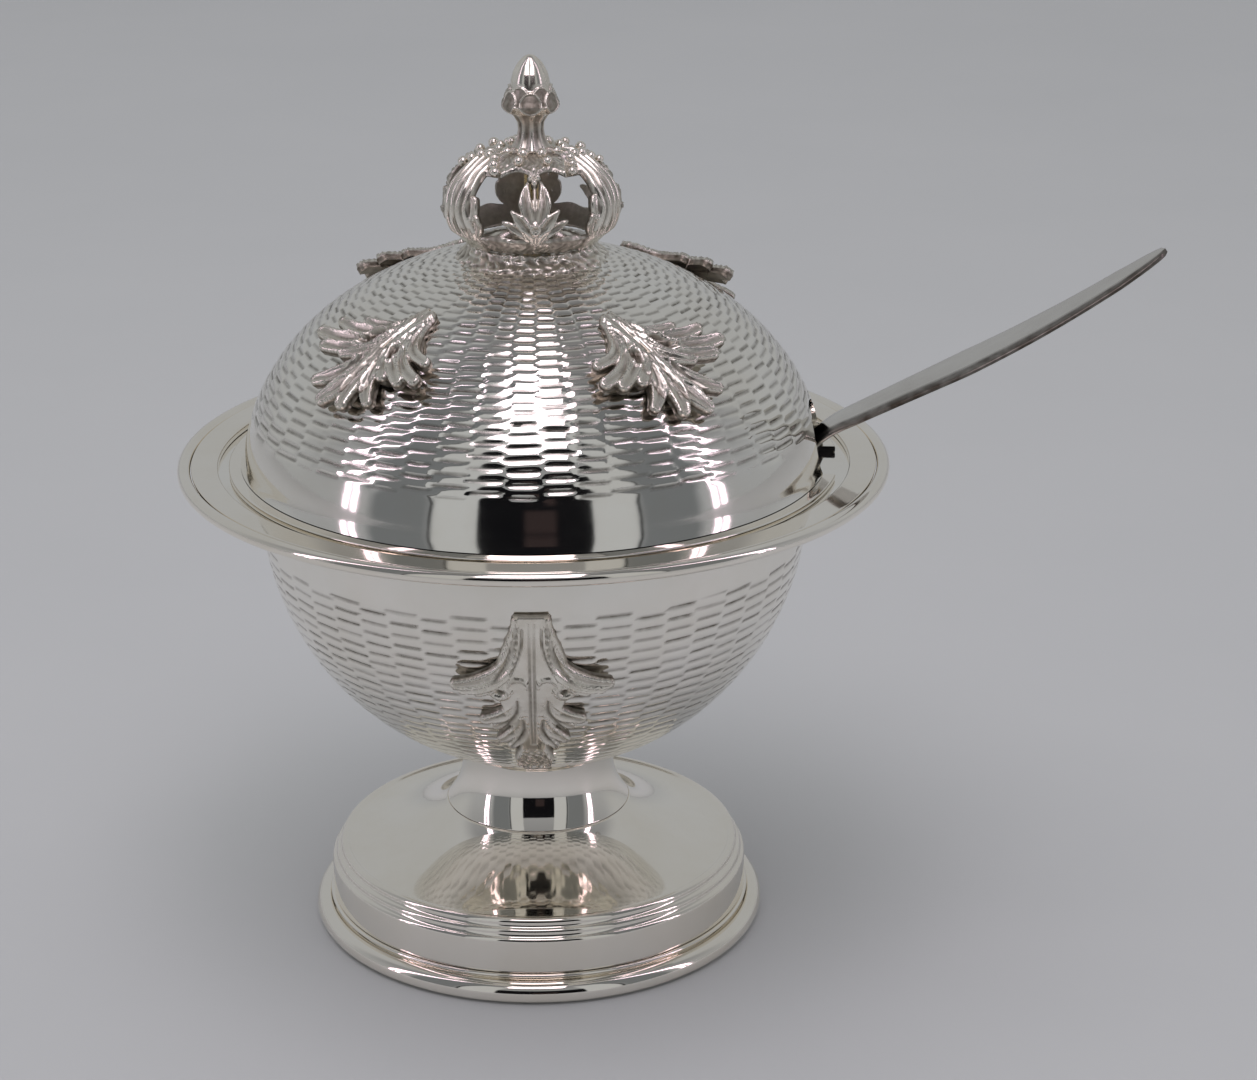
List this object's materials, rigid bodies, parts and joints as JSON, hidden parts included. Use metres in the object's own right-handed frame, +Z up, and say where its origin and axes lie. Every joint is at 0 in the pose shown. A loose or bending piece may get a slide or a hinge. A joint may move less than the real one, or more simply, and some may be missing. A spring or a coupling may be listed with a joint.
{
  "type": "covered sugar bowl with spoon",
  "caption": "Footed silver sugar bowl with a domed bark-textured lid, crown and bud finial, leaf mounts and a spoon standing through a notch in the lid.",
  "frame": {"origin": "centre of the foot, on the surface that the bowl stands on", "axes": "+Z up; +X along the spoon handle, through the notch in the lid; -Y towards the bowl's front leaf"},
  "size_m": [0.1641, 0.12, 0.1521],
  "materials": {
    "polished_silver": "mirror-polished silver",
    "bark_textured_silver": "polished silver with a hand-tooled bark texture",
    "aged_cast_silver": "cast silver, darkened in the hollows",
    "brass": "plain turned brass"
  },
  "bodies": {
    "bowl_on_foot": {"foot_base_ring": "polished_silver", "foot_plate": "polished_silver", "stem": "polished_silver", "bowl": "bark_textured_silver", "rim_plate": "polished_silver", "rim_wire": "polished_silver", "bowl_leaf_front": "aged_cast_silver", "bowl_leaf_back": "aged_cast_silver"},
    "lid": {"lid_dome": "bark_textured_silver", "lid_bezel": "polished_silver", "lid_leaf_front_left": "aged_cast_silver", "lid_leaf_front_right": "aged_cast_silver", "lid_leaf_back_right": "aged_cast_silver", "lid_leaf_back_left": "aged_cast_silver", "crown_collar": "aged_cast_silver", "crown": "aged_cast_silver", "bud_finial": "aged_cast_silver", "finial_stud": "brass", "finial_washer": "brass", "finial_nut": "brass"},
    "spoon": {"spoon": "polished_silver"}
  },
  "joints": [
    {"name": "lid_lift", "type": "slide", "parent": "bowl_on_foot", "child": "lid", "axis": [0, 0, 1], "range_m": [0, 0.08]},
    {"name": "spoon_tilt", "type": "hinge", "parent": "bowl_on_foot", "child": "spoon", "pos_m": [0.0463, 0, 0.0837], "axis": [0, 1, 0], "range_deg": [0, 28]}
  ]
}
